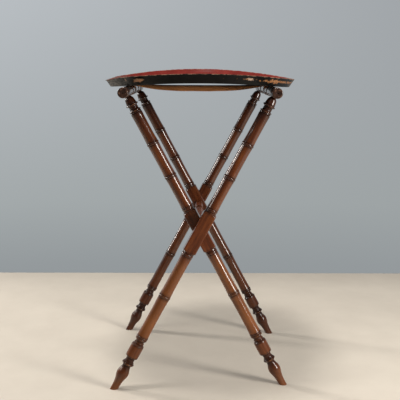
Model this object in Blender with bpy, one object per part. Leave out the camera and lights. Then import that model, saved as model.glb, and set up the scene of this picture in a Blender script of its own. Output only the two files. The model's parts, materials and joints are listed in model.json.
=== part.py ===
"""A folding tray table: an oval lacquered tray lying on a folding X-stand of turned, bamboo-style legs.

Metres, +Z up. The origin is on the floor, midway between the four feet. X runs across the stand, from
the left rail to the right rail, and Y runs from the front to the back, along the rails and the pivot.

The stand is two flat frames of two legs and a rail. Each frame is drawn upright about its pivot, with
its legs along its own Z, and hangs on an empty that stands at the pivot and leans it over.
"""

import math

import bmesh
import bpy
from mathutils import Matrix, Vector

# Driving dimensions of the stand
RAIL_HEIGHT = 0.680  # the rails' axes above the floor
RAIL_SPREAD = 0.165  # from the middle plane to each rail's axis
FOOT_SPREAD = 0.197  # from the middle plane to the middle of each foot
OUTER_Y = 0.2065  # the outer frame's legs, to the front and to the back
INNER_Y = 0.1790  # the inner frame's legs
RAIL_HALF = 0.2413  # half a rail's length
RAIL_R = 0.0120
BLOCK_X = 0.0150  # half the width of a leg's square pivot block
BLOCK_Y = 0.0136  # half its thickness, front to back
BLOCK_REACH = 0.0640  # from the pivot, how far up and down a leg is no wider than its block
GAP = 0.0003  # between pieces that touch

# Joinery
TENON_R = 0.0060  # a leg's tenon in its rail
TENON_RISE = 0.0045  # how far it passes the rail's axis
PIVOT_R = 0.0050  # the stretcher's round ends
PIVOT_DEPTH = 0.0140  # how far they run into the outer blocks
BORE_PLAY = 0.0004  # what a bore's radius adds to its pin's
BRAD_R = 0.0010
BRAD_REACH = 0.0065  # past the rail's axis
TACK_R = 0.0008
TACK_HEAD_R = 0.0035
TACK_DEPTH = 0.0080

# Strap
STRAP_WIDTH = 0.050
STRAP_THICK = 0.0020
STRAP_SAG_FRONT = 0.0150  # the front edge hangs slack
STRAP_SAG_BACK = 0.0030  # the back edge is nearly taut
STRAP_CURL = 2.4  # how steeply the front edge rolls down; 1 would be an even slope
STRAP_TUCK = math.radians(50)  # how far below the horizontal each end wraps round its rail

# Tray
TRAY_A = 0.2268  # half its width, over the rim
TRAY_B = 0.2990  # half its depth
TRAY_UNDERSIDE = 0.7070  # the underside at the centre
TRAY_ARCH = 0.360  # droop over distance squared from the middle, per metre
TRAY_TIP = 0.0134  # rise per metre towards the back
RIM_HEIGHT = 0.0185
FLOOR_THICK = 0.0040
BEARER_WIDTH = 0.016
BEARER_INNER = 0.036  # each bearer's ends, from the middle of the rail
BEARER_OUTER = 0.150

# Worked out from those
LEAN = math.atan((RAIL_SPREAD + FOOT_SPREAD) / RAIL_HEIGHT)
LEG_LENGTH = math.hypot(RAIL_SPREAD + FOOT_SPREAD, RAIL_HEIGHT)
PIVOT_SHARE = RAIL_SPREAD / (RAIL_SPREAD + FOOT_SPREAD)
PIVOT_HEIGHT = RAIL_HEIGHT * (1 - PIVOT_SHARE)
RAIL_REACH = LEG_LENGTH * PIVOT_SHARE  # from the pivot up to the rail's axis

LEG_SIDES = 12
BAR_SIDES = 16
PIN_SIDES = 8
TRAY_SIDES = 56

# Where the bamboo rings stand on a leg, below the rail's axis
RING_1 = 0.0462
RING_2 = 0.1279
RING_3 = 0.2111
RING_4 = 0.2935
RING_5 = 0.4098
RING_6 = 0.5192
RING_7 = 0.6301
RING_8 = 0.6987
RING_R = 0.0142
BLOCK_RING_R = 0.0138  # the two rings beside the pivot block, which pass the other frame as it folds
CANE_END_R = 0.0134  # a cane section beside its rings
CANE_MID_R = 0.0126  # and at its waist


def clear_scene():
    for obj in list(bpy.data.objects):
        bpy.data.objects.remove(obj)


def material(name, color, roughness, metallic=0.0):
    found = bpy.data.materials.get(name) or bpy.data.materials.new(name)
    found.use_nodes = True
    shader = found.node_tree.nodes["Principled BSDF"]
    shader.inputs["Base Color"].default_value = (*color, 1.0)
    shader.inputs["Roughness"].default_value = roughness
    shader.inputs["Metallic"].default_value = metallic
    return found


def add_object(name, bm, color, parent=None):
    """Makes the mesh an object, shaded smooth where it is round, under its parent."""
    bmesh.ops.recalc_face_normals(bm, faces=bm.faces)
    mesh = bpy.data.meshes.new(name)
    bm.to_mesh(mesh)
    bm.free()
    mesh.shade_smooth()
    mesh.set_sharp_from_angle(angle=math.radians(35))
    if color:
        mesh.materials.append(color)
    obj = bpy.data.objects.new(name, mesh)
    obj.parent = parent
    bpy.context.scene.collection.objects.link(obj)
    return obj


def loft(rings):
    """A closed skin over rings of points that all have the same count, with a face over each end."""
    bm = bmesh.new()
    loops = [[bm.verts.new(point) for point in ring] for ring in rings]
    count = len(loops[0])
    for below, above in zip(loops, loops[1:]):
        for i in range(count):
            j = (i + 1) % count
            bm.faces.new((below[i], below[j], above[j], above[i]))
    bm.faces.new(reversed(loops[0]))
    bm.faces.new(loops[-1])
    return bm


def turned_rings(profile, sides, blank=None):
    """Rings about Z for a profile of (z, radius).

    A blank (half x, half y, reach) is a square bar that the rings stay within, as far as its reach from
    the origin.
    """
    rings = []
    for z, radius in profile:
        ring = []
        for i in range(sides):
            angle = 2 * math.pi * (i + 0.5) / sides
            across = math.cos(angle)
            deep = math.sin(angle)
            reach = radius
            if blank and abs(z) < blank[2]:
                reach = min(reach, blank[0] / abs(across), blank[1] / abs(deep))
            ring.append(Vector((reach * across, reach * deep, z)))
        rings.append(ring)
    return rings


def aim(start, direction):
    """Turns Z to the direction, and moves the origin to the start."""
    return Matrix.Translation(start) @ direction.to_track_quat("Z", "Y").to_matrix().to_4x4()


def turned(name, profile, sides, color, parent, start, direction):
    """A turned piece whose profile runs from the start along the direction."""
    bm = loft(turned_rings(profile, sides))
    bm.transform(aim(Vector(start), Vector(direction)))
    return add_object(name, bm, color, parent)


def bore(targets, start, end, radius, sides, parent):
    """Drills a round hole through the targets, from the start to the end."""
    run = Vector(end) - Vector(start)
    profile = [(0.0, radius), (run.length, radius)]
    drill = turned("drill", profile, sides, None, parent, start, run)
    drill.hide_render = True
    drill.display_type = "WIRE"
    for target in targets:
        cut = target.modifiers.new("bore", "BOOLEAN")
        cut.operation = "DIFFERENCE"
        cut.solver = "EXACT"
        cut.object = drill


def ring_points(at, low=CANE_END_R, high=RING_R, half=0.0042, land=0.0022):
    """A raised ring on a turned profile, as (distance, radius)."""
    return [(at - half, low), (at - land, high), (at + land, high), (at + half, low)]


def leg_profile():
    """A leg as the lathe turns it, as (distance below the rail's axis, radius)."""
    line = [(-TENON_RISE, TENON_R), (0.0125, TENON_R)]
    line += [(0.0126, 0.0072), (0.0160, 0.0101), (0.0205, 0.0119), (0.0280, 0.0126)]
    line += [(0.0300, 0.0142), (0.0322, 0.0142), (0.0345, 0.0106), (0.0400, 0.0106)]
    line += ring_points(RING_1, low=0.0116)
    for above, below in ((RING_1, RING_2), (RING_2, RING_3)):
        line += [((above + below) / 2, CANE_MID_R)]
        line += ring_points(below)
    line += [((RING_3 + RING_4) / 2, CANE_MID_R)]
    line += ring_points(RING_4, high=BLOCK_RING_R)
    line += block_points(RING_4 + 0.0080, RING_5 - 0.0080)
    line += ring_points(RING_5, high=BLOCK_RING_R)
    for above, below in ((RING_5, RING_6), (RING_6, RING_7)):
        line += [((above + below) / 2, CANE_MID_R)]
        line += ring_points(below)
    line += [(0.6400, 0.0102), (0.6455, 0.0112), (0.6465, 0.0142), (0.6490, 0.0148)]
    line += [(0.6795, 0.0148), (0.6815, 0.0143), (0.6825, 0.0110), (0.6900, 0.0101)]
    line += ring_points(RING_8, low=0.0104)
    line += [(0.7045, 0.0098), (0.7130, 0.0122), (0.7210, 0.0139), (0.7275, 0.0142), (0.7350, 0.0132)]
    line += [(0.7480, 0.0106), (0.7620, 0.0096), (0.7800, 0.0094)]
    return line


def block_points(top, bottom):
    """The square pivot block: the profile leaves the blank uncut between two rounded shoulders."""
    corner = math.hypot(BLOCK_X, BLOCK_Y) + 0.0005
    shoulder = [(0.0, CANE_END_R), (0.0040, 0.0152), (0.0085, 0.0174), (0.0125, corner)]
    down = [(top + along, radius) for along, radius in shoulder]
    up = [(bottom - along, radius) for along, radius in reversed(shoulder)]
    return down + up


def cut_flat_at_floor(bm, lean):
    """Cuts a leg level, as it stands when its frame leans."""
    upright = Matrix.Rotation(-lean, 4, "Y")
    geometry = bm.verts[:] + bm.edges[:] + bm.faces[:]
    cut = bmesh.ops.bisect_plane(
        bm,
        geom=geometry,
        plane_co=upright @ Vector((0, 0, -PIVOT_HEIGHT)),
        plane_no=upright @ Vector((0, 0, -1)),
        clear_outer=True,
    )
    edges = [item for item in cut["geom_cut"] if isinstance(item, bmesh.types.BMEdge)]
    bmesh.ops.edgeloop_fill(bm, edges=edges)


def add_frame(name, lean):
    """The empty that carries a frame: it stands at the pivot and leans to its rail's side."""
    empty = bpy.data.objects.new(name, None)
    empty.location = (0, 0, PIVOT_HEIGHT)
    empty.rotation_euler = (0, lean, 0)
    bpy.context.scene.collection.objects.link(empty)
    return empty


def add_leg(name, frame, lean, y, color):
    profile = [(RAIL_REACH - distance, radius) for distance, radius in leg_profile()]
    bm = loft(turned_rings(profile, LEG_SIDES, blank=(BLOCK_X, BLOCK_Y, BLOCK_REACH)))
    cut_flat_at_floor(bm, lean)
    leg = add_object(name, bm, color, frame)
    leg.location = (0, y, 0)
    return leg


def rail_profile():
    """Half a rail, as (distance from its middle, radius), mirrored to the whole."""
    half = [(STRAP_WIDTH / 2 + 0.0015, RAIL_R), (STRAP_WIDTH / 2 + 0.0035, 0.0108), (0.0800, 0.0108)]
    half += ring_points(0.0860, low=0.0108, high=RAIL_R)
    half += [(0.1600, 0.0108), (0.1640, RAIL_R), (0.2225, RAIL_R), (0.2250, 0.0106), (0.2300, 0.0106)]
    half += [(0.2320, 0.0116), (0.2400, 0.0116), (RAIL_HALF, 0.0106)]
    return [(-y, radius) for y, radius in reversed(half)] + half


def add_rail(name, frame, color):
    return turned(name, rail_profile(), BAR_SIDES, color, frame, (0, 0, RAIL_REACH), (0, 1, 0))


def add_stretcher(frame, color):
    """The turned bar between the inner legs. Its round ends are the pins that the stand folds on."""
    shoulder = INNER_Y - BLOCK_Y - GAP
    tip = OUTER_Y - BLOCK_Y + PIVOT_DEPTH
    half = [(0.0, 0.0112), (0.0120, 0.0104), (0.0700, 0.0088)]
    half += ring_points(0.0780, low=0.0088, high=0.0112)
    half += [(0.1350, 0.0100)]
    half += ring_points(0.1430, low=0.0085, high=0.0108)
    half += [(shoulder, 0.0092), (shoulder + 0.0001, PIVOT_R), (tip, PIVOT_R)]
    profile = [(-y, radius) for y, radius in reversed(half[1:])] + half
    return turned("pivot_stretcher", profile, BAR_SIDES, color, frame, (0, 0, 0), (0, 1, 0))


def join_leg_to_rail(name, frame, side, leg, rail, y, color):
    """Sinks the leg's tenon in the rail, and pins it with a brad from the outer side."""
    below = RAIL_REACH - RAIL_R - 0.004
    above = RAIL_REACH + TENON_RISE + 0.0005
    bore([rail], (0, y, below), (0, y, above), TENON_R + BORE_PLAY, BAR_SIDES, frame)
    outside = RAIL_R + GAP
    start = (side * (outside + 0.002), y, RAIL_REACH)
    end = (-side * (BRAD_REACH + 0.0005), y, RAIL_REACH)
    bore([rail, leg], start, end, BRAD_R + BORE_PLAY, PIN_SIDES, frame)
    profile = [(-0.0007, 0.0012), (-0.0003, 0.0017), (0.0, 0.0017), (0.0001, BRAD_R)]
    profile += [(outside + BRAD_REACH, BRAD_R)]
    turned(name, profile, PIN_SIDES, color, frame, (side * outside, y, RAIL_REACH), (-side, 0, 0))


def add_tack(name, frame, side, strap, rail, y, color):
    """A domed tack that holds one end of the strap to the outer side of its rail."""
    face = RAIL_R + GAP + STRAP_THICK + GAP
    dome = [(TACK_HEAD_R * math.cos(turn), TACK_HEAD_R * math.sin(turn)) for turn in (0.45, 0.9, 1.3)]
    profile = [(-0.45 * height, radius) for height, radius in dome]
    profile += [(0.0, TACK_HEAD_R), (0.0001, TACK_R), (STRAP_THICK + TACK_DEPTH, TACK_R)]
    turned(name, profile, PIN_SIDES, color, frame, (side * face, y, RAIL_REACH), (-side, 0, 0))
    start = (side * (face + 0.002), y, RAIL_REACH)
    end = (side * (face - STRAP_THICK - TACK_DEPTH - 0.0005), y, RAIL_REACH)
    bore([strap, rail], start, end, TACK_R + BORE_PLAY, PIN_SIDES, frame)


def strap_path(sag, lift):
    """The strap's run at one distance across it: round the left rail, along its sag, round the right."""
    radius = RAIL_R + GAP + lift
    slope = math.atan(4 * sag / (2 * RAIL_SPREAD))
    wrap_steps = 7
    span_steps = 16
    wrap = []
    for i in range(wrap_steps):
        turn = math.pi / 2 - slope + (math.pi / 2 + STRAP_TUCK + slope) * (1 - i / (wrap_steps - 1))
        wrap.append((radius * math.cos(turn) - RAIL_SPREAD, RAIL_HEIGHT + radius * math.sin(turn)))
    from_x, from_z = wrap[-1]
    span = []
    for i in range(1, span_steps):
        share = 2 * i / span_steps - 1
        span.append((-from_x * share, from_z - sag * (1 - share * share)))
    return wrap + span + [(-x, z) for x, z in reversed(wrap)]


def add_strap(color):
    rows = 5
    top = []
    bottom = []
    for i in range(rows):
        share = i / (rows - 1)
        y = STRAP_WIDTH * (share - 0.5)
        sag = STRAP_SAG_BACK + (STRAP_SAG_FRONT - STRAP_SAG_BACK) * (1 - share) ** STRAP_CURL
        top.append([(x, y, z) for x, z in strap_path(sag, STRAP_THICK)])
        bottom.append([(x, y, z) for x, z in strap_path(sag, 0.0)])
    sections = [list(section) for section in zip(*(top + bottom[::-1]))]
    return add_object("strap", loft(sections), color)


def tray_underside(x, y):
    return TRAY_UNDERSIDE - TRAY_ARCH * x * x + TRAY_TIP * y


def oval_ring(inset, rise, share=1.0):
    """Points round the tray, this far in from its rim and this far above its underside."""
    ring = []
    for i in range(TRAY_SIDES):
        angle = 2 * math.pi * i / TRAY_SIDES
        x = share * (TRAY_A - inset) * math.cos(angle)
        y = share * (TRAY_B - inset) * math.sin(angle)
        ring.append(Vector((x, y, tray_underside(x, y) + rise)))
    return ring


def add_tray(color):
    floor_inset = 0.024
    foot_inset = 0.017
    outside = [(foot_inset, 0.0), (0.0135, 0.0012), (0.0105, 0.0040), (0.0062, 0.0100), (0.0022, 0.0150)]
    lip = [(0.0, RIM_HEIGHT - 0.0012), (0.0010, RIM_HEIGHT), (0.0030, RIM_HEIGHT)]
    inside = [(0.0045, 0.0165), (0.0080, 0.0120), (0.0130, 0.0070), (0.0180, 0.0047)]
    rings = [oval_ring(foot_inset, 0.0, share) for share in (0.25, 0.5, 0.75)]
    rings += [oval_ring(inset, rise) for inset, rise in outside + lip + inside]
    rings += [oval_ring(floor_inset, FLOOR_THICK, share) for share in (1.0, 0.75, 0.5, 0.25)]
    bm = loft(rings)
    ends = [face for face in bm.faces if len(face.verts) == TRAY_SIDES]
    bmesh.ops.poke(bm, faces=ends)
    return add_object("tray", bm, color)


def add_bearer(name, side, y_from, y_to, color):
    """A thin wedge between the rail and the tray's arched underside."""
    steps = 4
    sections = []
    for i in range(steps + 1):
        y = y_from + (y_to - y_from) * i / steps
        section = []
        for x in (-BEARER_WIDTH / 2, BEARER_WIDTH / 2):
            section.append((side * RAIL_SPREAD + x, y, RAIL_HEIGHT + RAIL_R + GAP))
        for x in (BEARER_WIDTH / 2, 0.0, -BEARER_WIDTH / 2):
            at = side * RAIL_SPREAD + x
            section.append((at, y, tray_underside(at, y) - GAP))
        sections.append(section)
    add_object(name, loft(sections), color)


def build_frame(kind, rail_name, lean, leg_y, wood, dark_wood, brass):
    """One frame of the stand: its rail, its two legs and their brads."""
    side = math.copysign(1, lean)
    frame = add_frame(kind + "_frame", lean)
    rail = add_rail(rail_name, frame, dark_wood)
    legs = []
    for place, y in (("front", -leg_y), ("back", leg_y)):
        leg = add_leg(f"leg_{kind}_{place}", frame, lean, y, wood)
        join_leg_to_rail(f"tenon_pin_{kind}_{place}", frame, side, leg, rail, y, brass)
        legs.append(leg)
    return frame, rail, legs


def main():
    clear_scene()
    wood = material("turned_wood", (0.16, 0.055, 0.028), 0.28)
    dark_wood = material("rail_wood", (0.09, 0.040, 0.026), 0.32)
    brass = material("old_brass", (0.55, 0.40, 0.18), 0.38, 1.0)
    webbing = material("brown_webbing", (0.20, 0.085, 0.035), 0.90)
    lacquer = material("red_and_black_lacquer", (0.20, 0.035, 0.025), 0.30)
    pine = material("bearer_wood", (0.10, 0.060, 0.035), 0.60)

    outer, right_rail, outer_legs = build_frame(
        "outer", "rail_right", LEAN, OUTER_Y, wood, dark_wood, brass
    )
    inner, left_rail, inner_legs = build_frame(
        "inner", "rail_left", -LEAN, INNER_Y, wood, dark_wood, brass
    )

    add_stretcher(inner, wood)
    pin_end = OUTER_Y - BLOCK_Y + PIVOT_DEPTH + 0.0005
    pin_bore = PIVOT_R + BORE_PLAY
    for legs, frame in ((inner_legs, inner), (outer_legs, outer)):
        for leg, way in zip(legs, (-1, 1)):
            start = (0, way * (INNER_Y - BLOCK_Y - 0.002), 0)
            bore([leg], start, (0, way * pin_end, 0), pin_bore, BAR_SIDES, frame)

    strap = add_strap(webbing)
    for place, y in (("front", -0.016), ("middle", 0.0), ("back", 0.016)):
        add_tack(f"strap_tack_left_{place}", inner, -1, strap, left_rail, y, brass)
        add_tack(f"strap_tack_right_{place}", outer, 1, strap, right_rail, y, brass)

    add_tray(lacquer)
    for name, side in (("left", -1), ("right", 1)):
        add_bearer(f"bearer_front_{name}", side, -BEARER_OUTER, -BEARER_INNER, pine)
        add_bearer(f"bearer_back_{name}", side, BEARER_INNER, BEARER_OUTER, pine)


main()
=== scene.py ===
"""The looks of an old folding tray table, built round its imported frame. Metres, +Z up.

Every turned piece is a lathe profile swept about the line that the frame gives it. The tray is one oval
sweep whose chips and worn edges are shaped in the mesh, and the strap is a woven band that hangs from
rail to rail. Marks that the finish needs, such as how far a point stands proud of its neighbours, are
kept on the mesh as attributes, and the materials read those.
"""

import json
import math

import bpy
import numpy as np
from mathutils import Matrix, Vector, noise


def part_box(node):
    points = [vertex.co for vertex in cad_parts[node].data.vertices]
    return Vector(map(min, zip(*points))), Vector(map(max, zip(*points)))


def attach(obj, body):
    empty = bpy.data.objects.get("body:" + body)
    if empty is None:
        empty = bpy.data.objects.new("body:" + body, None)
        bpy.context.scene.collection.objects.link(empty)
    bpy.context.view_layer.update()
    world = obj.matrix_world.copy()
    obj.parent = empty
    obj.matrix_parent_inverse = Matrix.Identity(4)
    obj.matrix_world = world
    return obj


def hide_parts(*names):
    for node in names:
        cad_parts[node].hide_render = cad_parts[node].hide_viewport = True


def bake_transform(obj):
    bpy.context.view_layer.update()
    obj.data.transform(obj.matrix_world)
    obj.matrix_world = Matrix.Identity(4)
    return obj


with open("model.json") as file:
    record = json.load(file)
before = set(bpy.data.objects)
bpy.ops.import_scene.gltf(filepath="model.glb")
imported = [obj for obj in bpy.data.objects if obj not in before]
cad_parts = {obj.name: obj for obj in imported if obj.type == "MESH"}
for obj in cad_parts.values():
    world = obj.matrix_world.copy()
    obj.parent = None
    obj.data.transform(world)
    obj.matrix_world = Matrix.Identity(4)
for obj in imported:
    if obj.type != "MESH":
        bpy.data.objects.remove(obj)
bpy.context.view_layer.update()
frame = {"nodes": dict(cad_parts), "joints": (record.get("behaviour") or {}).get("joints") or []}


def middle(node):
    low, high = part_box(node)
    return (low + high) / 2


# Read from the frame
PIVOT = Vector(next(j for j in frame["joints"] if j["name"] == "fold")["pos_m"])
RAIL_SPREAD = middle("rail_right").x
RAIL_HEIGHT = middle("rail_right").z
RAIL_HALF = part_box("rail_right")[1].y
OUTER_Y = middle("leg_outer_back").y
INNER_Y = middle("leg_inner_back").y
TRAY_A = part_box("tray")[1].x
TRAY_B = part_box("tray")[1].y
LEAN = math.atan2(RAIL_SPREAD, RAIL_HEIGHT - PIVOT.z)
RAIL_REACH = math.hypot(RAIL_SPREAD, RAIL_HEIGHT - PIVOT.z)  # from the pivot up to a rail's axis

# The turning, as the frame's solids have it
RAIL_R = 0.0120
BLOCK_X = 0.0150  # half the width of a leg's square pivot block
BLOCK_Y = 0.0136  # half its thickness, front to back
BLOCK_REACH = 0.0640  # from the pivot, how far up and down a leg is no wider than its block
GAP = 0.0003
TENON_R = 0.0060
TENON_RISE = 0.0045  # how far a tenon passes its rail's axis
PIVOT_R = 0.0050
PIVOT_DEPTH = 0.0140  # how far the stretcher's round ends run into the outer blocks
BORE_PLAY = 0.0004
RING_1 = 0.0462  # the bamboo rings on a leg, below the rail's axis
RING_2 = 0.1279
RING_3 = 0.2111
RING_4 = 0.2935
RING_5 = 0.4098
RING_6 = 0.5192
RING_7 = 0.6301
RING_8 = 0.6987
RING_R = 0.0142
BLOCK_RING_R = 0.0138  # the two rings beside the pivot block
CANE_END_R = 0.0134
CANE_MID_R = 0.0126

# The strap
STRAP_WIDTH = 0.050
STRAP_THICK = 0.0020
STRAP_SAG_FRONT = 0.0150
STRAP_SAG_BACK = 0.0030
STRAP_CURL = 22.0  # how steeply the front edge rolls down
STRAP_FULLNESS = 3  # the power that the sag falls off with, from the middle to the rails
STRAP_TUCK = math.radians(50)
TACK_SPACING = 0.0160

# The tray
TRAY_UNDERSIDE = 0.7070  # the height of its underside at the middle
TRAY_ARCH = 0.360  # how fast the underside falls away to the left and right, per metre
TRAY_TIP = 0.0134  # its slope up towards the back
RIM_HEIGHT = 0.0185
RIM_FOOT = 0.0170  # where the underside meets the rim, in from the lip
FLOOR_THICK = 0.0040
FLOOR_INSET = 0.024  # where the flat floor begins, in from the lip
# The lip there is also grey: dusty lacquer with a painted sheen on it.
LEFT_TIP = 1.05 * math.pi  # the angle round the tray where the lip is worn down and grey
LIP_WEAR = 0.0042  # how much lower the lip is there

# Stained wood: its dark, middle and light grain, and where it is worn
LEG_TONES = ((0.075, 0.017, 0.005), (0.130, 0.032, 0.008), (0.195, 0.056, 0.013), (0.29, 0.115, 0.035))
RAIL_TONES = ((0.042, 0.018, 0.012), (0.098, 0.040, 0.023), (0.154, 0.070, 0.039), (0.26, 0.14, 0.09))

LATHE_SIDES = 64


# ---------------------------------------------------------------- lines and meshes


def smooth(points, spacing):
    """A fine line through the points that never swings past them: a monotone cubic along each axis."""
    points = np.array(points, float)
    steps = np.diff(points, axis=0)
    spans = np.linalg.norm(steps, axis=1)
    slopes = steps / spans[:, None]
    tangents = np.zeros_like(points)
    tangents[0] = slopes[0]
    tangents[-1] = slopes[-1]
    for i in range(1, len(points) - 1):
        before = slopes[i - 1]
        after = slopes[i]
        same_way = before * after > 0
        total = np.where(same_way, before + after, 1.0)
        tangents[i] = np.where(same_way, 2 * before * after / total, 0.0)
    fine = [points[0]]
    for i, span in enumerate(spans):
        count = max(1, math.ceil(span / spacing))
        for k in range(1, count + 1):
            t = k / count
            fine.append(
                (2 * t**3 - 3 * t**2 + 1) * points[i]
                + (t**3 - 2 * t**2 + t) * span * tangents[i]
                + (3 * t**2 - 2 * t**3) * points[i + 1]
                + (t**3 - t**2) * span * tangents[i + 1]
            )
    return [tuple(point) for point in fine]


def bead(at, half, low, high, steps=8):
    """A half-round ring on a turned profile, as (distance, radius)."""
    turns = [math.pi * i / steps for i in range(steps + 1)]
    return [(at - half * math.cos(t), low + (high - low) * math.sin(t)) for t in turns]


def new_object(name, points, faces, marks, matrix=None):
    """A mesh object, shaded smooth where it is round. The marks are values for each of its points.

    The mark "grain" is always there: each point as it was drawn, before the matrix put it in its place.
    """
    mesh = bpy.data.meshes.new(name)
    mesh.from_pydata([tuple(p) for p in points], [], faces)
    for mark, values in marks.items():
        layer = mesh.attributes.new(mark, "FLOAT", "POINT")
        layer.data.foreach_set("value", np.array(values, np.float32))
    drawn = mesh.attributes.new("grain", "FLOAT_VECTOR", "POINT")
    drawn.data.foreach_set("vector", np.array(points, np.float32).ravel())
    if matrix is not None:
        mesh.transform(matrix)
    mesh.shade_smooth()
    mesh.set_sharp_from_angle(angle=math.radians(38))
    obj = bpy.data.objects.new(name, mesh)
    bpy.context.scene.collection.objects.link(obj)
    return obj


def sweep_faces(rings, count, capped=True):
    """Faces of a skin over rings of the same count of points, and a cap over each end."""
    faces = []
    for ring in range(rings - 1):
        for i in range(count):
            j = (i + 1) % count
            low = ring * count
            faces.append((low + i, low + j, low + count + j, low + count + i))
    if capped:
        last = (rings - 1) * count
        faces.append(tuple(reversed(range(count))))
        faces.append(tuple(range(last, last + count)))
    return faces


def turning_marks(along, radius):
    """For each point along a profile: how far it stands above or below its neighbours, and how ringed
    the turning is there."""
    reach = 0.0045
    capped = np.minimum(radius, RING_R)
    shifts = np.linspace(-reach, reach, 13)
    near = np.array([np.interp(along + shift, along, capped) for shift in shifts])
    relief = np.clip((capped - near.mean(axis=0)) / 0.0011, -1, 1)
    taper = shifts @ near / (shifts @ shifts)
    ringed = np.clip(np.std(near - np.outer(shifts, taper), axis=0) / 0.0006, 0, 1)
    return relief, ringed


def lathe(name, profile, matrix, sides=LATHE_SIDES, blank=None, floor=None):
    """A turned piece about its own Z, from a profile of (height, radius), lowest first.

    A blank (half x, half y, reach) is a square bar that the piece stays within, as far as its reach from
    the origin. A floor is a function of local x that gives the height where the piece is cut off.
    """
    relief, ringed = turning_marks(*np.array(profile).T)
    points = []
    for z, r in profile:
        for i in range(sides):
            angle = 2 * math.pi * (i + 0.5) / sides
            reach = r
            if blank and abs(z) < blank[2]:
                reach = min(r, squared(blank, angle))
            x = reach * math.cos(angle)
            height = z if floor is None else max(z, floor(x))
            points.append((x, reach * math.sin(angle), height))
    marks = {"relief": np.repeat(relief, sides), "ringed": np.repeat(ringed, sides)}
    return new_object(name, points, sweep_faces(len(profile), sides), marks, matrix)


def squared(blank, angle):
    """The reach of a square bar with eased corners, in one direction."""
    sharpness = 16
    across = abs(math.cos(angle)) / blank[0]
    deep = abs(math.sin(angle)) / blank[1]
    return (across**sharpness + deep**sharpness) ** (-1 / sharpness)


def drill(obj, matrix, start, end, radius):
    """Bores a round hole from start to end, which are points in the space that the matrix places."""
    run = Vector(end) - Vector(start)
    aim = Matrix.Translation(start) @ run.to_track_quat("Z", "Y").to_matrix().to_4x4()
    bit = lathe("bit", [(0.0, radius), (run.length, radius)], matrix @ aim, sides=40)
    cut = obj.modifiers.new("bore", "BOOLEAN")
    cut.operation = "DIFFERENCE"
    cut.solver = "EXACT"
    cut.object = bit
    bpy.context.view_layer.update()
    evaluated = obj.evaluated_get(bpy.context.evaluated_depsgraph_get())
    bored = bpy.data.meshes.new_from_object(evaluated)
    obj.modifiers.clear()
    obj.data = bored
    bored.set_sharp_from_angle(angle=math.radians(38))
    bpy.data.objects.remove(bit)


def place(body, y=0.0):
    """Where a frame of the stand is drawn: its Z runs from the pivot up its legs, which lean to its rail."""
    lean = LEAN if body == "outer_frame" else -LEAN
    return Matrix.Translation(PIVOT + Vector((0, y, 0))) @ Matrix.Rotation(lean, 4, "Y")


def finish_piece(obj, body, slot, surface, *nodes):
    obj.data.materials.clear()
    obj.data.materials.append(surface)
    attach(obj, body)
    if nodes:
        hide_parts(*nodes)
    return obj


# ---------------------------------------------------------------- the camera and the room


def add_camera():
    """The photograph's view: from the front, near the tray's own height, looking a little down."""
    lens = bpy.data.cameras.new("camera")
    lens.lens = 70.0
    lens.sensor_width = 36.0
    camera = bpy.data.objects.new("camera", lens)
    bpy.context.scene.collection.objects.link(camera)
    looks_down = 9.751
    yaw = Matrix.Rotation(math.radians(-0.30), 4, "Z")
    pitch = Matrix.Rotation(math.radians(90 - looks_down), 4, "X")
    roll = Matrix.Rotation(math.radians(0.21), 4, "Z")
    camera.matrix_world = Matrix.Translation((-0.0084, -1.9092, 0.7363)) @ yaw @ pitch @ roll
    bpy.context.scene.camera = camera


def add_light(name, at, towards, size, power, color):
    """A soft box, which lights and is reflected but isn't itself in any view."""
    data = bpy.data.lights.new(name, "AREA")
    data.shape = "RECTANGLE"
    data.size = size[0]
    data.size_y = size[1]
    data.energy = power
    data.color = color
    light = bpy.data.objects.new(name, data)
    light.location = at
    light.rotation_euler = (Vector(towards) - Vector(at)).to_track_quat("-Z", "Y").to_euler()
    light.visible_camera = False
    bpy.context.scene.collection.objects.link(light)


def add_lights():
    """A tall box to the right of the camera, two to the left and one overhead."""
    warm = (1.0, 0.95, 0.89)
    add_light("key_right", (1.45, -1.10, 0.82), (0, 0, 0.50), (0.38, 0.90), 36, warm)
    add_light("rim_left", (-1.9, 0.80, 1.15), (0, 0, 0.45), (0.20, 0.8), 26, warm)
    add_light("side_left", (-1.9, -0.60, 1.30), (0, 0, 0.30), (0.5, 0.5), 7, warm)
    add_light("top_box", (-0.28, -0.35, 3.7), (-0.1, -0.1, 0.0), (0.6, 0.6), 69, warm)


def add_world():
    """A grey-blue wall of light, paler above and to the left. What is seen only in reflections and gives
    light is the same wall behind the table, and a dim room in front of it."""
    world = bpy.data.worlds.new("grey_wall")
    bpy.context.scene.world = world
    graph = Graph(world, "Background")
    aim = graph.node("TexCoord").outputs["Generated"]
    towards = graph.node("SeparateXYZ", {0: aim}).outputs
    wall_tones = [
        (-0.30, (0.275, 0.298, 0.310)),
        (-0.245, (0.298, 0.322, 0.334)),
        (-0.17, (0.352, 0.381, 0.388)),
        (-0.04, (0.384, 0.411, 0.428)),
        (0.08, (0.413, 0.440, 0.462)),
        (0.35, (0.40, 0.42, 0.44)),
        (0.50, (0.34, 0.33, 0.315)),
    ]
    wall = graph.spread(towards["Z"], wall_tones)
    sides = graph.spread(towards["X"], [(-0.30, 1.20), (0.30, 0.84)])
    lifted = graph.spread(towards["Z"], [(-0.25, 0.0), (0.08, 1.0)])
    seen = graph.mix(lifted, wall, sides, "MULTIPLY")
    behind = graph.spread(towards["Y"], [(-0.2, 0.18), (0.5, 1.0)])
    above = graph.spread(towards["Z"], [(0.35, 0.0), (0.60, 1.0)])
    room = graph.mix(above, behind, (1.0, 1.0, 1.0))
    indirect = graph.calc("SUBTRACT", 1.0, graph.node("LightPath").outputs["Is Camera Ray"])
    graph.set("Color", graph.mix(indirect, seen, room, "MULTIPLY"))


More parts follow.
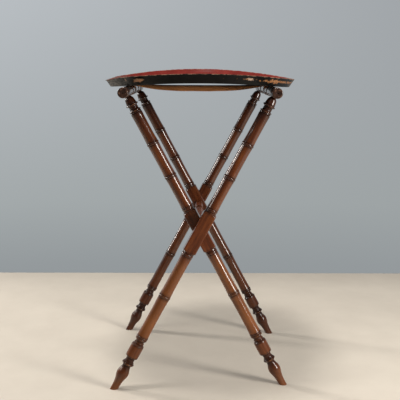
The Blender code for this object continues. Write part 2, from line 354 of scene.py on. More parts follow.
def add_floor():
    """A pale floor that ends at the wall. Its colour holds painted light and shade: dimmer towards the
    front, away from the lamps, and darker close to the wall, as painted shade from it.
    """
    half = 2.6
    front_y = -3.4
    wall_y = 0.8175
    corners = [(-half, front_y, 0), (half, front_y, 0), (half, wall_y, 0), (-half, wall_y, 0)]
    floor = new_object("floor", corners, [(0, 1, 2, 3)], {})
    graph = Graph(bpy.data.materials.new("pale_floor"))
    where = graph.drawn()
    mottle = graph.noise(where, 9, 5, 0.6)
    grit = graph.noise(where, 260, 3, 0.6)
    tone = graph.ramp(mottle, [(0.3, (0.535, 0.490, 0.425)), (0.7, (0.585, 0.540, 0.470))])
    tone = graph.mix(graph.scaled(grit, 0.25), tone, (0.50, 0.460, 0.40))
    depth = graph.node("SeparateXYZ", {0: where}).outputs["Y"]
    dim_y = -1.4
    share = graph.calc("DIVIDE", graph.calc("SUBTRACT", depth, dim_y), wall_y - dim_y)
    # Painted light and shade: dimmer towards the front, away from the lamps, and darker in the last stretch
    # before the wall, as painted shade from it.
    stops = [(0.0, 0.35), (0.42, 0.80), (0.52, 0.97), (0.70, 1.0), (0.91, 0.93), (1.0, 0.76)]
    shade = graph.ramp(share, stops)
    graph.set("Base Color", graph.mix(1.0, tone, shade, "MULTIPLY"))
    graph.set("Roughness", 0.62)
    graph.bump((grit, 0.15, 0.001), (mottle, 0.1, 0.004))
    floor.data.materials.append(graph.owner)


# ---------------------------------------------------------------- materials


class Graph:
    """The nodes of a material or a world, with short ways to make and join them."""

    def __init__(self, owner, shader="Principled BSDF"):
        owner.use_nodes = True
        self.owner = owner
        self.tree = owner.node_tree
        self.shader = self.tree.nodes[shader]

    def feed(self, socket, value):
        if isinstance(value, bpy.types.NodeSocket):
            self.tree.links.new(value, socket)
        elif isinstance(value, tuple) and len(value) == 3 and socket.type == "RGBA":
            socket.default_value = (*value, 1.0)
        else:
            socket.default_value = value

    def node(self, kind, inputs=(), **settings):
        made = self.tree.nodes.new("ShaderNode" + kind)
        for key, value in settings.items():
            setattr(made, key, value)
        for key, value in dict(inputs).items():
            self.feed(made.inputs[key], value)
        return made

    def set(self, name, value):
        self.feed(self.shader.inputs[name], value)

    def calc(self, operation, *values):
        return self.node("Math", dict(enumerate(values)), operation=operation).outputs[0]

    def scaled(self, value, factor):
        return self.calc("MULTIPLY", value, factor)

    def mark(self, name):
        return self.node("Attribute", attribute_name=name).outputs["Fac"]

    def drawn(self):
        """The place of a point as its piece was drawn."""
        return self.node("Attribute", attribute_name="grain").outputs["Vector"]

    def stretched(self, vector, scale):
        return self.node("Mapping", {"Vector": vector, "Scale": scale}).outputs[0]

    def noise(self, vector, scale, detail=4.0, roughness=0.55, distortion=0.0):
        inputs = {"Vector": vector, "Scale": scale, "Detail": detail, "Roughness": roughness}
        inputs["Distortion"] = distortion
        return self.node("TexNoise", inputs).outputs[0]

    def ramp(self, value, stops):
        """Colours (or greys) over a value, from (position, colour) stops."""
        made = self.node("ValToRGB", {0: value})
        for _ in range(len(stops) - 2):
            made.color_ramp.elements.new(0.5)
        for element, (position, color) in zip(made.color_ramp.elements, stops):
            element.position = position
            element.color = (*color, 1.0) if isinstance(color, tuple) else (color, color, color, 1.0)
        return made.outputs[0]

    def spread(self, value, stops):
        """A ramp whose stops lie at the value's own figures, in place of 0 to 1."""
        low = stops[0][0]
        high = stops[-1][0]
        share = self.node("MapRange", {"Value": value, "From Min": low, "From Max": high}).outputs[0]
        return self.ramp(share, [((at - low) / (high - low), color) for at, color in stops])

    def mix(self, factor, a, b, blend="MIX"):
        made = self.node("Mix", data_type="RGBA", blend_type=blend)
        self.feed(made.inputs[0], factor)
        self.feed(made.inputs[6], a)
        self.feed(made.inputs[7], b)
        return made.outputs[2]

    def bump(self, *layers):
        """Bumps one upon another, each (height, strength, distance in metres)."""
        normal = None
        for height, strength, distance in layers:
            made = self.node("Bump", {"Height": height, "Strength": strength, "Distance": distance})
            if normal:
                self.feed(made.inputs["Normal"], normal)
            normal = made.outputs[0]
        self.set("Normal", normal)


def toned(color, share):
    """The colour made darker or lighter, by a share of itself."""
    return tuple(share * part for part in color)


def below_pivot(graph):
    """How far a point of a leg is below the pivot, along the leg."""
    return graph.scaled(graph.node("SeparateXYZ", {0: graph.drawn()}).outputs["Z"], -1.0)


def leg_painted_light_and_shade(graph, tone, patches, painted_light_share, painted_light_tone, shade_and_neck_tone):
    """A leg's painted light and shade: lighter and more orange below the pivot, where more light falls,
    painted shade at its top under the rail and the tray, and darker at the foot's neck.
    """
    depth = below_pivot(graph)
    # Painted light: lighter and more orange lower down the leg, where more light falls.
    stops = [(0.06, 0.0), (0.09, 0.8), (0.24, 1.0), (0.30, 0.2), (0.37, 0.2), (0.40, 0.6)]
    cloudy = graph.ramp(patches, [(0.30, 0.4 * painted_light_share), (0.62, painted_light_share)])
    tone = graph.mix(graph.calc("MULTIPLY", graph.ramp(depth, stops), cloudy), tone, painted_light_tone)
    height = graph.scaled(depth, -1.0)
    # Painted shade at the top of the leg, under the rail and the tray.
    painted_shade_under_tray = graph.ramp(height, [(0.20, 0.0), (0.27, 0.35), (0.29, 0.75)])
    neck = graph.ramp(depth, [(0.328, 0.0), (0.336, 0.75), (0.360, 0.70), (0.372, 0.0)])
    return graph.mix(graph.calc("MAXIMUM", painted_shade_under_tray, neck), tone, shade_and_neck_tone)


def polished_wood(name, dark, mid, light, worn, gloss=0.09, varnish=0.8, painted_light_share=None):
    """Stained wood under old varnish: grain along the piece's own Z, blackened rings, worn crests.

    Only a leg gets painted light and shade, and its painted_light_share sets how much lighter and more
    orange it is painted below the pivot.
    """
    graph = Graph(bpy.data.materials.new(name))
    where = graph.drawn()
    black = toned(dark, 0.30)
    fibre = graph.noise(graph.stretched(where, (1.0, 1.0, 0.035)), 620, 3, 0.6)
    figure = graph.noise(graph.stretched(where, (1.0, 1.0, 0.10)), 95, 5, 0.6, 0.6)
    patches = graph.noise(graph.stretched(where, (1.0, 1.0, 0.45)), 14, 4, 0.6)
    tone = graph.ramp(figure, [(0.28, dark), (0.50, mid), (0.74, light)])
    pores = graph.ramp(fibre, [(0.52, 0.0), (0.70, 0.5)])
    tone = graph.mix(pores, tone, toned(dark, 0.45))
    shade = graph.ramp(patches, [(0.32, 0.62), (0.62, 1.0)])
    tone = graph.mix(1.0, tone, shade, "MULTIPLY")
    if painted_light_share is not None:
        # The painted light's tone, between the light grain and the worn colour.
        painted_light_tone = graph.mix(0.6, light, worn)
        tone = leg_painted_light_and_shade(graph, tone, patches, painted_light_share, painted_light_tone, black)

    relief = graph.mark("relief")
    hollow = graph.ramp(graph.scaled(relief, -1.0), [(0.04, 0.0), (0.55, 0.92)])
    blacking = graph.ramp(graph.mark("ringed"), [(0.15, 0.0), (0.75, 0.80)])
    grime = graph.calc("MAXIMUM", hollow, blacking)
    grime = graph.mix(graph.noise(where, 130, 4), grime, graph.scaled(grime, 0.75))
    tone = graph.mix(grime, tone, black)
    scuffs = graph.ramp(graph.noise(where, 190, 4, 0.65), [(0.50, 0.0), (0.64, 1.0)])
    crest = graph.calc("MULTIPLY", graph.ramp(relief, [(0.35, 0.0), (0.9, 0.45)]), scuffs)
    graph.set("Base Color", graph.mix(crest, tone, worn))

    dull = graph.ramp(patches, [(0.3, 0.34), (0.7, 0.48)])
    graph.set("Roughness", graph.mix(grime, dull, (0.5, 0.5, 0.5)))
    graph.set("Specular IOR Level", 0.12)
    coat = graph.ramp(hollow, [(0.1, varnish), (0.9, 0.4 * varnish)])
    if painted_light_share is not None:
        rubbed_low = graph.ramp(below_pivot(graph), [(0.08, 1.0), (0.30, 0.55)])
        coat = graph.mix(1.0, coat, rubbed_low, "MULTIPLY")
    graph.set("Coat Weight", coat)
    graph.set("Coat Roughness", gloss)
    graph.set("Coat IOR", 1.52)
    graph.bump((fibre, 0.12, 0.0003), (figure, 0.10, 0.0008), (scuffs, 0.05, 0.0004))
    return graph.owner


def old_brass():
    graph = Graph(bpy.data.materials.new("old_brass"))
    where = graph.drawn()
    cloud = graph.noise(where, 900, 4, 0.6)
    speck = graph.noise(where, 3000, 2, 0.6)
    bright = graph.ramp(speck, [(0.35, (0.42, 0.29, 0.11)), (0.65, (0.62, 0.45, 0.20))])
    stain = graph.ramp(cloud, [(0.42, 0.0), (0.60, 0.85)])
    graph.set("Base Color", graph.mix(stain, bright, (0.10, 0.065, 0.035)))
    graph.set("Metallic", graph.ramp(stain, [(0.0, 1.0), (1.0, 0.55)]))
    graph.set("Roughness", graph.ramp(stain, [(0.0, 0.30), (1.0, 0.58)]))
    graph.bump((cloud, 0.25, 0.0002), (speck, 0.15, 0.0001))
    return graph.owner


def bearer_wood():
    """Bare softwood gone brown, with its grain along Y."""
    graph = Graph(bpy.data.materials.new("bearer_wood"))
    where = graph.node("TexCoord").outputs["Object"]
    grain = graph.noise(graph.stretched(where, (1.0, 0.05, 1.0)), 420, 4, 0.6, 0.4)
    stain = graph.noise(where, 60, 4, 0.6)
    tone = graph.ramp(grain, [(0.3, (0.050, 0.028, 0.016)), (0.7, (0.150, 0.090, 0.050))])
    stained = graph.ramp(stain, [(0.4, 0.0), (0.7, 0.7)])
    graph.set("Base Color", graph.mix(stained, tone, (0.03, 0.018, 0.012)))
    graph.set("Roughness", graph.ramp(grain, [(0.3, 0.72), (0.7, 0.56)]))
    graph.bump((grain, 0.35, 0.0005))
    return graph.owner


def brown_webbing():
    """Jute webbing: warps along it, wefts across it, and two darker stripes beside its edges."""
    graph = Graph(bpy.data.materials.new("brown_webbing"))
    along = graph.mark("along")
    across = graph.mark("across")
    yarn_pitch = 0.0017
    yarn = 2 * math.pi / yarn_pitch
    warp = graph.calc("SINE", graph.scaled(across, yarn))
    weft = graph.calc("SINE", graph.scaled(along, yarn * 1.25))
    height = graph.calc("MULTIPLY_ADD", graph.calc("MULTIPLY", warp, weft), 0.5, 0.5)
    where = graph.drawn()
    fuzz = graph.noise(where, 1500, 3, 0.7)
    soil = graph.noise(where, 34, 4, 0.6)
    tone = graph.ramp(fuzz, [(0.3, (0.62, 0.230, 0.066)), (0.7, (0.88, 0.37, 0.115))])
    tone = graph.mix(graph.ramp(height, [(0.1, 0.5), (0.7, 0.0)]), tone, (0.26, 0.105, 0.040))
    tone = graph.mix(graph.ramp(soil, [(0.40, 0.0), (0.68, 0.25)]), tone, (0.30, 0.125, 0.050))
    side = graph.calc("ABSOLUTE", graph.calc("DIVIDE", across, STRAP_WIDTH / 2))
    stripe = graph.ramp(side, [(0.62, 0.0), (0.68, 0.55), (0.76, 0.55), (0.82, 0.0)])
    tone = graph.mix(stripe, tone, (0.30, 0.065, 0.035))
    graph.set("Base Color", tone)
    graph.set("Roughness", 0.88)
    graph.set("Sheen Weight", 0.25)
    graph.set("Sheen Roughness", 0.5)
    graph.bump((height, 0.8, 0.0005), (fuzz, 0.4, 0.0003))
    return graph.owner


def lacquered_tray():
    """Black lacquer outside and red inside, over a brown core that shows at the chips and the lip."""
    graph = Graph(bpy.data.materials.new("lacquered_tray"))
    where = graph.drawn()
    cloud = graph.noise(where, 26, 5, 0.6)
    fine = graph.noise(where, 420, 4, 0.65)
    cells = graph.node("TexVoronoi", {"Vector": where, "Scale": 240.0}, feature="DISTANCE_TO_EDGE")
    cracks = graph.ramp(cells.outputs[0], [(0.0, 1.0), (0.035, 0.0)])

    red = graph.ramp(cloud, [(0.30, (0.140, 0.015, 0.012)), (0.68, (0.235, 0.031, 0.025))])
    rubbed = graph.ramp(fine, [(0.52, 0.0), (0.70, 0.7)])
    red = graph.mix(graph.scaled(rubbed, 0.3), red, (0.24, 0.080, 0.058))
    black = graph.ramp(cloud, [(0.35, (0.0035, 0.0035, 0.0034)), (0.65, (0.007, 0.0068, 0.0064))])
    black = graph.mix(graph.scaled(rubbed, 0.20), black, (0.014, 0.012, 0.011))
    tone = graph.mix(graph.mark("inside"), black, red)
    tone = graph.mix(graph.scaled(cracks, 0.35), tone, (0.010, 0.007, 0.006))

    # Grey where the mark dull is: dusty lacquer, and a painted sheen of the side lamps reflected in it.
    dust_and_sheen = graph.calc("MULTIPLY", graph.mark("dull"), graph.ramp(fine, [(0.32, 0.35), (0.62, 1.0)]))
    tone = graph.mix(dust_and_sheen, tone, (0.165, 0.155, 0.140))
    gold = graph.ramp(fine, [(0.35, (0.18, 0.070, 0.027)), (0.65, (0.36, 0.175, 0.075))])
    tone = graph.mix(graph.mark("gilt"), tone, gold)
    core = graph.ramp(fine, [(0.3, (0.31, 0.145, 0.078)), (0.7, (0.53, 0.29, 0.17))])
    tone = graph.mix(graph.mark("chip"), tone, core)
    cream = graph.ramp(fine, [(0.3, (0.25, 0.165, 0.115)), (0.7, (0.41, 0.29, 0.22))])
    tone = graph.mix(graph.mark("primer"), tone, cream)
    graph.set("Base Color", tone)

    bare = graph.calc("MAXIMUM", graph.mark("chip"), graph.calc("MAXIMUM", graph.mark("primer"), dust_and_sheen))
    gloss = graph.ramp(cloud, [(0.3, 0.34), (0.7, 0.48)])
    graph.set("Roughness", graph.mix(bare, gloss, (0.75, 0.75, 0.75)))
    graph.set("Specular IOR Level", 0.04)
    glazed = graph.ramp(bare, [(0.0, 0.10), (0.6, 0.0)])
    unglazed = graph.scaled(graph.mark("inside"), 0.95)
    graph.set("Coat Weight", graph.mix(unglazed, glazed, (0.0, 0.0, 0.0)))
    graph.set("Coat Roughness", 0.14)
    graph.bump((cloud, 0.12, 0.002), (fine, 0.10, 0.0004), (cracks, -0.12, 0.0002))
    return graph.owner


# ---------------------------------------------------------------- the stand


def ring(at, high):
    """A bamboo ring: a bead between two narrow grooves that the cane sections flare up to."""
    groove = CANE_MID_R - 0.0001
    before = [(at - 0.0058, CANE_END_R - 0.0001), (at - 0.0045, CANE_END_R), (at - 0.0039, groove)]
    after = [(2 * at - distance, radius) for distance, radius in reversed(before)]
    return before + bead(at, 0.0032, groove, high) + after


def cane(above, below):
    """A waisted cane section between two rings."""
    clear_of_ring = 0.0080
    start = above + clear_of_ring
    end = below - clear_of_ring
    steps = 16
    line = []
    for i in range(steps + 1):
        t = 2 * i / steps - 1
        flare = (CANE_END_R - 0.0002 - CANE_MID_R) * t**4
        line.append((start + (end - start) * i / steps, CANE_MID_R + flare))
    return line


def block(above, below):
    """The square pivot block, which the lathe leaves uncut between two rounded shoulders."""
    clear_of_ring = 0.0074
    top = above + clear_of_ring
    bottom = below - clear_of_ring
    reach = math.hypot(BLOCK_X, BLOCK_Y) + 0.0005
    depth = 0.0120  # how long a shoulder is
    steps = 12
    neck = CANE_END_R - 0.0004
    line = [(top - 0.0006, neck)]
    for i in range(steps + 1):
        turn = math.pi / 2 * i / steps
        line.append((top + depth * (1 - math.cos(turn)), neck + (reach - neck) * math.sin(turn)))
    body = [(top + depth + (bottom - top - 2 * depth) * i / 8, reach) for i in range(1, 8)]
    return line + body + [(top + bottom - distance, radius) for distance, radius in reversed(line)]


def leg_profile():
    """A leg from its tenon to its foot, as (distance below the rail's axis, radius)."""
    line = [(-TENON_RISE, TENON_R - 0.0006), (-TENON_RISE + 0.0006, TENON_R), (0.0124, TENON_R)]
    cap = [(0.0125, 0.0066), (0.0145, 0.0084), (0.0180, 0.0101), (0.0230, 0.0110), (0.0275, 0.0117)]
    line += smooth(cap, 0.0008)
    line += [(0.0286, 0.0115)] + bead(0.0316, 0.0022, 0.0115, RING_R, 6)
    line += smooth([(0.0342, 0.0106), (0.0360, 0.0099), (0.0378, 0.0098)], 0.0008)
    line += bead(0.0392, 0.0009, 0.0098, 0.0106, 6)
    line += [(0.0404, 0.0098), (0.0428, 0.0101), (0.0436, 0.0108)]
    line += bead(0.0458, 0.0018, 0.0114, 0.0137, 6) + bead(0.0494, 0.0014, 0.0115, 0.0132, 6)
    line += [(0.0514, 0.0118), (0.0520, CANE_END_R - 0.0003)]
    for above, below in ((RING_1, RING_2), (RING_2, RING_3)):
        line += cane(above, below) + ring(below, RING_R)
    line += cane(RING_3, RING_4) + ring(RING_4, BLOCK_RING_R)
    line += block(RING_4, RING_5) + ring(RING_5, BLOCK_RING_R)
    for above, below in ((RING_5, RING_6), (RING_6, RING_7)):
        line += cane(above, below)
        if below != RING_7:
            line += ring(below, RING_R)
    line += foot_profile()
    return line


def foot_profile():
    """The turned foot: a double ring, a barrel, a ring, and a bulb that tapers to the floor."""
    groove = 0.0123
    line = [(RING_7 - 0.0058, CANE_END_R - 0.0001), (RING_7 - 0.0045, CANE_END_R)]
    line += [(RING_7 - 0.0039, groove)] + bead(RING_7 - 0.0014, 0.0024, groove, RING_R, 6)
    line += bead(RING_7 + 0.0034, 0.0022, groove, 0.0138, 6)
    line += smooth([(0.6362, 0.0110), (0.6390, 0.0101), (0.6420, 0.0102)], 0.0008)
    line += bead(0.6437, 0.0012, 0.0104, 0.0117, 6)
    line += [(0.6454, 0.0108), (0.6472, 0.0110), (0.6480, 0.0128), (0.6492, 0.0141), (0.6508, 0.0146)]
    line += smooth([(0.6530, 0.0147), (0.6660, 0.0148), (0.6800, 0.0147)], 0.003)
    line += [(0.6812, 0.0144), (0.6820, 0.0136), (0.6825, 0.0112)]
    line += smooth([(0.6832, 0.0107), (0.6870, 0.0101), (0.6905, 0.0100), (0.6930, 0.0104)], 0.001)
    line += bead(0.6956, 0.0014, 0.0106, 0.0122, 6) + bead(0.6998, 0.0026, 0.0108, RING_R, 8)
    cove = [(0.7028, 0.0103), (0.7050, 0.0097), (0.7075, 0.0097), (0.7105, 0.0102)]
    bulb = [(0.7145, 0.0114), (0.7205, 0.0134), (0.7265, 0.0142), (0.7325, 0.0135), (0.7390, 0.0116)]
    tip = [(0.7450, 0.0101), (0.7520, 0.0091), (0.7620, 0.0086), (0.7800, 0.0085)]
    line += smooth(cove + bulb + tip, 0.0012)
    return line


def add_leg(kind, where, y, surface):
    """A leg, cut level at the floor. An inner leg's pivot block is bored right through, an outer one's
    only from its inner face."""
    body = kind + "_frame"
    lean = LEAN if kind == "outer" else -LEAN
    profile = [(RAIL_REACH - distance, radius) for distance, radius in reversed(leg_profile())]

    def floor(x):
        return (math.sin(lean) * x - PIVOT.z) / math.cos(lean)

    name = f"leg_{kind}_{where}"
    at = place(body, y)
    leg = lathe("turned_" + name, profile, at, blank=(BLOCK_X, BLOCK_Y, BLOCK_REACH), floor=floor)
    outwards = math.copysign(1, y)
    past = BLOCK_Y + 0.002
    bottom = past if kind == "inner" else PIVOT_DEPTH - BLOCK_Y + 0.0005
    drill(leg, at, (0, -outwards * past, 0), (0, outwards * bottom, 0), PIVOT_R + BORE_PLAY)
    return finish_piece(leg, body, "turned_wood", surface, name)


def mirrored(half):
    """A profile from its middle outwards, mirrored to the whole and drawn from end to end."""
    return [(-y, radius) for y, radius in reversed(half) if y > 1e-6] + half


def rail_profile():
    """Half a rail: canes between rings, grooves beside the legs, and a button with a lathe mark."""
    low = 0.0108
    half = [(0.0, RAIL_R), (0.0265, RAIL_R), (0.0275, 0.0114), (0.0285, low)]
    half += [(0.0300 + 0.0500 * i / 8, low - 0.0003 * math.sin(math.pi * i / 8)) for i in range(9)]
    half += bead(0.0860, 0.0032, 0.0103, RAIL_R)
    half += [(0.0902, low)]
    half += [(0.0920 + 0.0600 * i / 8, low - 0.0003 * math.sin(math.pi * i / 8)) for i in range(9)]
    half += bead(0.1555, 0.0022, 0.0102, 0.0117, 6) + bead(0.1602, 0.0022, 0.0102, RAIL_R, 6)
    half += [(0.1630, 0.0112), (0.1640, RAIL_R), (0.1900, RAIL_R), (0.1912, 0.0108), (0.1936, 0.0108)]
    half += [(0.1948, RAIL_R), (0.2222, RAIL_R), (0.2232, 0.0114), (0.2240, 0.0102)]
    half += bead(0.2262, 0.0016, 0.0102, 0.0113, 6)
    half += [(0.2284, 0.0100), (0.2302, 0.0100), (0.2312, 0.0110), (0.2322, 0.0116)]
    half += [(0.2390, 0.0117), (0.2403, 0.0114), (0.2411, 0.0107), (RAIL_HALF, 0.0098)]
    half += [(RAIL_HALF - 0.0002, 0.0070), (RAIL_HALF - 0.0002, 0.0022)]
    return half


def add_rail(name, body, leg_y, surface):
    """A rail, laid along Y with its own Z along it, bored from below for the two tenons."""
    half = rail_profile()
    profile = mirrored(half)
    dimple = [(RAIL_HALF - 0.0006, 0.0016), (RAIL_HALF - 0.0030, 0.0003)]
    profile = [(-y, radius) for y, radius in reversed(dimple)] + profile + dimple
    up_the_frame = Matrix.Translation((0, 0, RAIL_REACH))
    along_y = Matrix.Rotation(-math.pi / 2, 4, "X")
    at = place(body) @ up_the_frame @ along_y
    rail = lathe("turned_" + name, profile, at)
    for y in (-leg_y, leg_y):
        drill(rail, at, (0, RAIL_R + 0.004, y), (0, -TENON_RISE - 0.0005, y), TENON_R + BORE_PLAY)
    return finish_piece(rail, body, "rail_wood", surface, name)


def add_stretcher(surface):
    """The bar between the inner legs, whose round ends are the pins that the stand folds on."""
    shoulder = INNER_Y - BLOCK_Y - GAP
    tip = OUTER_Y - BLOCK_Y + PIVOT_DEPTH
    half = smooth([(0.0, 0.0112), (0.0120, 0.0106), (0.0400, 0.0093), (0.0700, 0.0088)], 0.004)
    half += [(0.0735, 0.0088), (0.0741, 0.0082)] + bead(0.0780, 0.0032, 0.0082, 0.0112)
    half += [(0.0819, 0.0082), (0.0825, 0.0088)]
    half += smooth([(0.0840, 0.0088), (0.1080, 0.0091), (0.1340, 0.0100)], 0.004)
    half += [(0.1375, 0.0100), (0.1381, 0.0083)] + bead(0.1412, 0.0024, 0.0083, 0.0108, 6)
    half += bead(0.1456, 0.0016, 0.0083, 0.0098, 6)
    end = [(0.1475, 0.0084), (0.1530, 0.0083), (shoulder - 0.004, 0.0092), (shoulder, 0.0090)]
    half += smooth(end, 0.002)
    half += [(shoulder + 0.0001, PIVOT_R), (tip - 0.0006, PIVOT_R), (tip, PIVOT_R - 0.0006)]
    along_y = Matrix.Rotation(-math.pi / 2, 4, "X")
    bar = lathe("turned_pivot_stretcher", mirrored(half), place("inner_frame") @ along_y)
    return finish_piece(bar, "inner_frame", "turned_wood", surface, "pivot_stretcher")


def add_nail(name, body, side, y, face, head, shank, surface):
    """A brad or tack driven into a rail from its outer side.

    The head is a profile above the face, and the shank is (radius, length).
    """
    profile = [(-shank[1], 0.0002), (-shank[1] + 0.0012, shank[0]), (-0.0001, shank[0])] + head
    outwards = Matrix.Rotation(side * math.pi / 2, 4, "Y")
    at = Matrix.Translation((side * face, y, RAIL_REACH))
    nail = lathe("fine_" + name, profile, place(body) @ at @ outwards, sides=32)
    return finish_piece(nail, body, "old_brass", surface, name)


def add_nails(surface):
    """Three domed tacks in each end of the strap, and a brad through each leg's tenon."""
    head_r = 0.0035
    dome = [(0.0, head_r - 0.0003), (0.0002, head_r)]
    for i in range(1, 8):
        turn = math.pi / 2 * i / 8
        dome.append((0.0002 + 0.0015 * math.sin(turn), head_r * math.cos(turn)))
    brad = [(0.0, 0.0015), (0.0002, 0.0017), (0.0005, 0.0016), (0.0007, 0.0011)]
    strap_face = RAIL_R + GAP + STRAP_THICK
    for kind, side, word, leg_y in (("outer", 1, "right", OUTER_Y), ("inner", -1, "left", INNER_Y)):
        body = kind + "_frame"
        for where, y in (("front", -TACK_SPACING), ("middle", 0.0), ("back", TACK_SPACING)):
            name = f"strap_tack_{word}_{where}"
            add_nail(name, body, side, y, strap_face, dome, (0.0008, 0.010), surface)
        for where, y in (("front", -leg_y), ("back", leg_y)):
            add_nail(f"tenon_pin_{kind}_{where}", body, side, y, RAIL_R, brad, (0.0010, 0.0185), surface)


# ---------------------------------------------------------------- the strap


def strap_path(sag, lift):
    """The strap's run at one distance across it: round the left rail, along its sag, round the right."""
    radius = RAIL_R + GAP + lift
    slope = math.atan(STRAP_FULLNESS * sag / RAIL_SPREAD)
    wrap_steps = 22
    span_steps = 120
    sweep = math.pi / 2 + STRAP_TUCK + slope
    wrap = []
    for i in range(wrap_steps):
        turn = math.pi / 2 - slope + sweep * (1 - i / (wrap_steps - 1))
        wrap.append((radius * math.cos(turn) - RAIL_SPREAD, RAIL_HEIGHT + radius * math.sin(turn)))
    from_x, from_z = wrap[-1]
    span = []
    for i in range(1, span_steps):
        share = 2 * i / span_steps - 1
        span.append((-from_x * share, from_z - sag * (1 - abs(share) ** STRAP_FULLNESS)))
    return wrap + span + [(-x, z) for x, z in reversed(wrap)]


def rippled(path, lengths, y):
    """A line of the strap as (x, y, z, distance along the band), slightly rippled between the rails."""
    line = []
    for (x, z), along in zip(path, lengths):
        ripple = 0.00035 * noise.noise(Vector((along * 45, y * 60, 0.0)))
        free = min(1.0, max(0.0, (RAIL_SPREAD - abs(x)) / 0.03))
        line.append((x, y, z + ripple * free, along))
    return line


def strap_lines(share):
    """The strap's top and underside at one share of the way from its front edge to its back one."""
    y = STRAP_WIDTH * (share - 0.5)
    sag = STRAP_SAG_BACK + (STRAP_SAG_FRONT - STRAP_SAG_BACK) * (1 - share) ** STRAP_CURL
    weave = 0.00012 if 0.06 < share < 0.94 else 0.0  # what the band is thinner by within its selvedges
    rounded = 0.00045 * max(0.0, 1 - 12 * min(share, 1 - share))
    thin = 0.00012 + weave + rounded
    top = strap_path(sag, STRAP_THICK - thin)
    underside = strap_path(sag, thin)
    lengths = [0.0]
    for before, after in zip(top, top[1:]):
        lengths.append(lengths[-1] + math.dist(before, after))
    return rippled(top, lengths, y), rippled(underside, lengths, y)


def add_strap(surface):
    """A woven band with thicker selvedges and a slight ripple, tacked round both rails."""
    columns = 30
    lines = [strap_lines((i / columns) ** 1.5) for i in range(columns + 1)]
    top = [line for line, _ in lines]
    underside = [line for _, line in lines]
    around = top + underside[::-1]
    rings = list(zip(*around))
    points = [point[:3] for ring_points in rings for point in ring_points]
    marks = {
        "along": [point[3] for ring_points in rings for point in ring_points],
        "across": [point[1] for ring_points in rings for point in ring_points],
    }
    strap = new_object("webbing_strap", points, sweep_faces(len(rings), len(around)), marks)
    strap.data.materials.append(surface)
    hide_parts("strap")
    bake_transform(strap)


# ---------------------------------------------------------------- the tray


def tray_underside(x, y):
    return TRAY_UNDERSIDE - TRAY_ARCH * x * x + TRAY_TIP * y


def tray_section():
    """The rim's section from its rounded foot over the lip to the floor's edge, as (inset, rise) points."""
    outside = [(RIM_FOOT, 0.0), (0.0162, -0.0010), (0.0148, -0.0018), (0.0130, -0.0016), (0.0112, 0.0004)]
    outside += [(0.0062, 0.0085), (0.0022, 0.0145), (0.0004, 0.0169)]
    lip = [(0.0, 0.0175), (0.0003, 0.0181), (0.0010, RIM_HEIGHT), (0.0021, RIM_HEIGHT), (0.0029, 0.0182)]
    inside = [(0.0045, 0.0163), (0.0080, 0.0118), (0.0130, 0.0070), (0.0180, 0.0048)]
    return smooth(outside + lip + inside + [(FLOOR_INSET, FLOOR_THICK)], 0.0011)


# Patches on the outside of the rim: the mark, its strength, its middle (degrees round from the right end,
# rise), its half width in degrees, its half height, where its noise is taken from, and its raggedness
RIM_PATCHES = (
    ("chip", 1.0, (-126.8, 0.0085), 4.0, 0.0042, 1.0, 0.45),
    ("primer", 0.6, (-127.6, 0.0105), 2.4, 0.0014, 6.0, 0.7),
    ("primer", 1.0, (-62.0, 0.0105), 2.3, 0.0032, 2.0, 0.7),
    ("primer", 1.0, (-136.7, 0.0125), 0.6, 0.0040, 3.0, 0.3),
    ("gilt", 1.0, (-43.5, 0.0095), 4.8, 0.0040, 4.0, 1.0),
    ("gilt", 0.8, (-36.0, 0.0095), 22.0, 0.0022, 5.0, 1.3),
)


def limited(value):
    return min(1.0, max(0.0, value))


def turn_from(middle, angle):
    """The turn from one angle to another, within half a turn either way."""
    return (angle - middle + math.pi) % (2 * math.pi) - math.pi


def patch(angle, rise, at, wide, tall, seed, ragged):
    """How far a point of the rim lies inside a ragged oval patch: 1 well inside, 0 outside."""
    across = turn_from(math.radians(at[0]), angle) / math.radians(wide)
    up = (rise - at[1]) / tall
    if abs(across) > 2 or abs(up) > 2:
        return 0.0
    rough = noise.fractal(Vector((angle * 38, rise * 260, seed)), 0.9, 2.1, 3) * ragged
    return limited((1 - math.hypot(across, up) + rough) * 4)


def rim_wear(angle, rise, outside):
    """How far each kind of wear, and the painted sheen at the ends, shows at one point of the rim."""
    around = Vector((math.cos(angle) * 9, math.sin(angle) * 9, rise * 120))
    rough = noise.fractal(around * 2.4, 0.9, 2.1, 4)
    fine = noise.fractal(around * 9.0, 0.9, 2.1, 3)
    lip = max(0.0, 1 - abs(rise - RIM_HEIGHT) / 0.0016)
    left_end = max(0.0, 1 - abs(turn_from(LEFT_TIP, angle)) / math.radians(45))
    right_end = max(0.0, 1 - abs(turn_from(0.0, angle)) / math.radians(24))
    wear = {
        "chip": lip * limited(1.1 * (rough + 0.5 * fine) + 0.25),
        "primer": lip * limited(2.2 * (fine + 0.6 * rough) - 0.15),
        "gilt": right_end * limited(1.5 * fine) if outside else 0.0,
        # dull: both ends, the left one most, are dull and grey: dusty lacquer, and a painted sheen of the
        # side lamps.
        "dull": limited(max(left_end * (1.4 + 1.6 * rough), right_end * (1.0 + 1.6 * rough))),
    }
    if outside:
        for mark, strength, *shape in RIM_PATCHES:
            wear[mark] = max(wear[mark], strength * patch(angle, rise, *shape))
    else:
        wear["dull"] *= limited((rise - 0.0075) / 0.0070)
    return wear


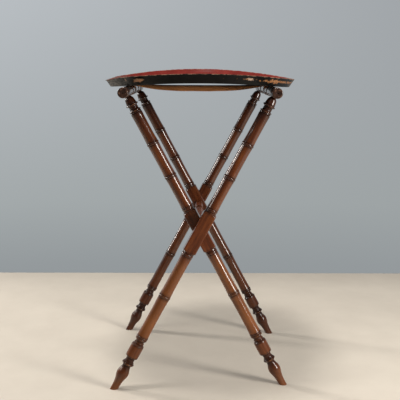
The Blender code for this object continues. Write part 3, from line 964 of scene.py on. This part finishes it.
def rim_point(angle, inset, rise, wear):
    """A point of the rim, set back where it is chipped and lower where the lip is worn down."""
    bite = 0.0006 * max(wear["chip"], 0.8 * wear["primer"])
    x = (TRAY_A - inset - bite) * math.cos(angle)
    y = (TRAY_B - inset - bite) * math.sin(angle)
    worn = max(0.0, 1 - (turn_from(LEFT_TIP, angle) / math.radians(30)) ** 2)
    near_lip = rise > 0.016
    sink = 0.0005 * max(wear["chip"], wear["primer"]) if near_lip else 0.0
    return x, y, tray_underside(x, y) + min(rise, RIM_HEIGHT - LIP_WEAR * worn) - sink


def flat_point(angle, inset, rise, share):
    """A point of the underside or the floor, some share of the way out to the rim."""
    x = share * (TRAY_A - inset) * math.cos(angle)
    y = share * (TRAY_B - inset) * math.sin(angle)
    return x, y, tray_underside(x, y) + rise


def add_tray(surface):
    """The oval dish: its rim swept round it, closed by the arched floor above and below."""
    sides = 1280
    angles = [2 * math.pi * i / sides for i in range(sides)]
    shares = (0.92, 0.8, 0.65, 0.5, 0.35, 0.2, 0.08)
    section = tray_section()
    lip_at = max(range(len(section)), key=lambda k: section[k][1])
    unworn = {"chip": 0.0, "primer": 0.0, "gilt": 0.0, "dull": 0.0}

    points = [flat_point(angle, RIM_FOOT, 0.0, share) for share in reversed(shares) for angle in angles]
    wears = [{**unworn, "inside": 0.0}] * len(points)
    for at, (inset, rise) in enumerate(section):
        outside = at <= lip_at
        for angle in angles:
            wear = rim_wear(angle, rise, outside)
            points.append(rim_point(angle, inset, rise, wear))
            wears.append({**wear, "inside": 0.0 if outside else 1.0})
    points += [flat_point(angle, FLOOR_INSET, FLOOR_THICK, share) for share in shares for angle in angles]
    wears += [{**unworn, "inside": 1.0}] * (len(points) - len(wears))

    marks = {mark: [wear[mark] for wear in wears] for mark in wears[0]}
    faces = sweep_faces(len(points) // sides, sides)
    tray = new_object("lacquered_oval_tray", points, faces, marks)
    return finish_piece(tray, "tray", "lacquered_tray", surface, "tray")


# ---------------------------------------------------------------- the whole


def main():
    bpy.context.scene.view_settings.view_transform = "Standard"
    add_camera()
    add_world()
    add_lights()
    add_floor()

    # The front legs take the most painted light below the pivot.
    front_wood = polished_wood("turned_wood", *LEG_TONES, painted_light_share=0.75)
    # Painted shade: the back legs take the legs' wood made darker, with little painted light below the
    # pivot.
    shaded_back_tones = [toned(tone, 0.62) for tone in LEG_TONES]
    shaded_back_wood = polished_wood("shaded_back_turned_wood", *shaded_back_tones, painted_light_share=0.15)
    bar_tones = [toned(tone, 1.25) for tone in LEG_TONES]
    bar_wood = polished_wood("dull_turned_wood", *bar_tones, gloss=0.30, varnish=0.25)
    rail_wood = polished_wood("rail_wood", *RAIL_TONES)
    brass = old_brass()
    for kind, leg_y in (("outer", OUTER_Y), ("inner", INNER_Y)):
        add_leg(kind, "front", -leg_y, front_wood)
        add_leg(kind, "back", leg_y, shaded_back_wood)
    add_rail("rail_right", "outer_frame", OUTER_Y, rail_wood)
    add_rail("rail_left", "inner_frame", INNER_Y, rail_wood)
    add_stretcher(bar_wood)
    add_nails(brass)
    add_strap(brown_webbing())
    add_tray(lacquered_tray())
    pine = bearer_wood()
    for node in frame["nodes"].values():
        if node.name.startswith("bearer"):
            node.data.materials.clear()
            node.data.materials.append(pine)


main()
